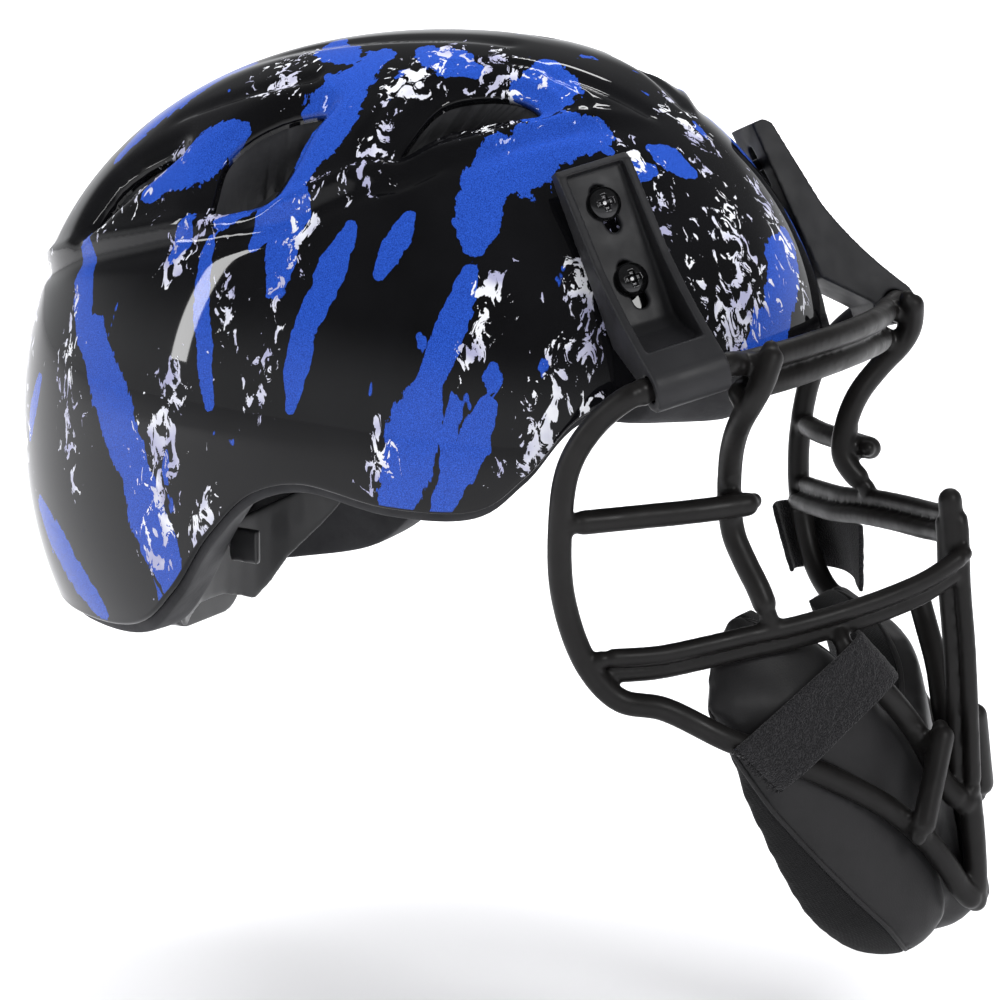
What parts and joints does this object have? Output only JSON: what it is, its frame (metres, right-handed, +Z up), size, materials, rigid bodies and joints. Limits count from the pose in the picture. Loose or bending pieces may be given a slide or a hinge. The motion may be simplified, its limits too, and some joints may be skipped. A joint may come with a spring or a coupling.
{
  "type": "catcher's mask",
  "caption": "Hard-shell ball-sport helmet with a wire face cage on two slotted forehead clips, a strapped chin pad and a dial-adjusted rear cradle.",
  "frame": {"origin": "middle of the wearer's head, level with the ears: the head mount", "axes": "+Z up, -Y the way the wearer faces, -X the wearer's right"},
  "size_m": [0.217, 0.376, 0.31],
  "materials": {
    "shell": "gloss black with blue and white streaks",
    "foam": "moulded foam, matte dark grey",
    "clip": "moulded, matte charcoal",
    "wire": "dip-coated steel wire, satin brown-black",
    "screw": "black, glossy",
    "nut": "zinc plated",
    "leather": "smooth synthetic leather, satin",
    "lining": "matte brushed knit",
    "strap": "fuzzy loop tape",
    "retention": "smooth black plastic"
  },
  "bodies": {
    "helmet": {"helmet_shell": "shell", "foam_liner": "foam", "brow_pad": "lining", "rear_pad": "lining", "side_pad_right": "lining", "crown_pad_right": "lining", "clip_screw_upper_right": "screw", "clip_screw_lower_right": "screw", "tee_nut_upper_right": "nut", "tee_nut_lower_right": "nut", "retention_arm_right": "retention", "side_pad_left": "lining", "crown_pad_left": "lining", "clip_screw_upper_left": "screw", "clip_screw_lower_left": "screw", "tee_nut_upper_left": "nut", "tee_nut_lower_left": "nut", "retention_arm_left": "retention"},
    "mask": {"brow_bar_upper": "wire", "brow_bar_lower": "wire", "front_post_outer": "wire", "front_post_inner": "wire", "lower_post": "wire", "chin_pad_outer": "leather", "chin_pad_liner": "lining", "clip_right": "clip", "perimeter_wire_right": "wire", "eye_bar_right": "wire", "cheek_bar_right": "wire", "lower_wire_right": "wire", "lower_strut_right": "wire", "mouth_bar_upper_right": "wire", "mouth_bar_lower_right": "wire", "pad_strap_right": "strap", "clip_left": "clip", "perimeter_wire_left": "wire", "eye_bar_left": "wire", "cheek_bar_left": "wire", "lower_wire_left": "wire", "lower_strut_left": "wire", "mouth_bar_upper_left": "wire", "mouth_bar_lower_left": "wire", "pad_strap_left": "strap"},
    "cradle": {"cradle_band": "retention", "adjuster_housing": "retention", "cradle_sleeve_right": "retention", "cradle_sleeve_left": "retention"},
    "dial": {"fit_dial": "retention", "dial_pinion": "retention"}
  },
  "joints": [
    {"name": "mask_slide", "type": "slide", "parent": "helmet", "child": "mask", "axis": [0, -0.506, -0.8625], "range_m": [-0.007, 0.004]},
    {"name": "cradle_slide", "type": "slide", "parent": "helmet", "child": "cradle", "axis": [0, 1, 0], "range_m": [-0.006, 0.005]},
    {"name": "dial_turn", "type": "hinge", "parent": "cradle", "child": "dial", "pos_m": [0, 0.113, -0.046], "axis": [0, 1, 0], "range_deg": [-57.3, 47.8]}
  ],
  "couplings": [
    {"joint": "dial_turn", "follows": "cradle_slide", "rad_per_m": 166.67}
  ]
}
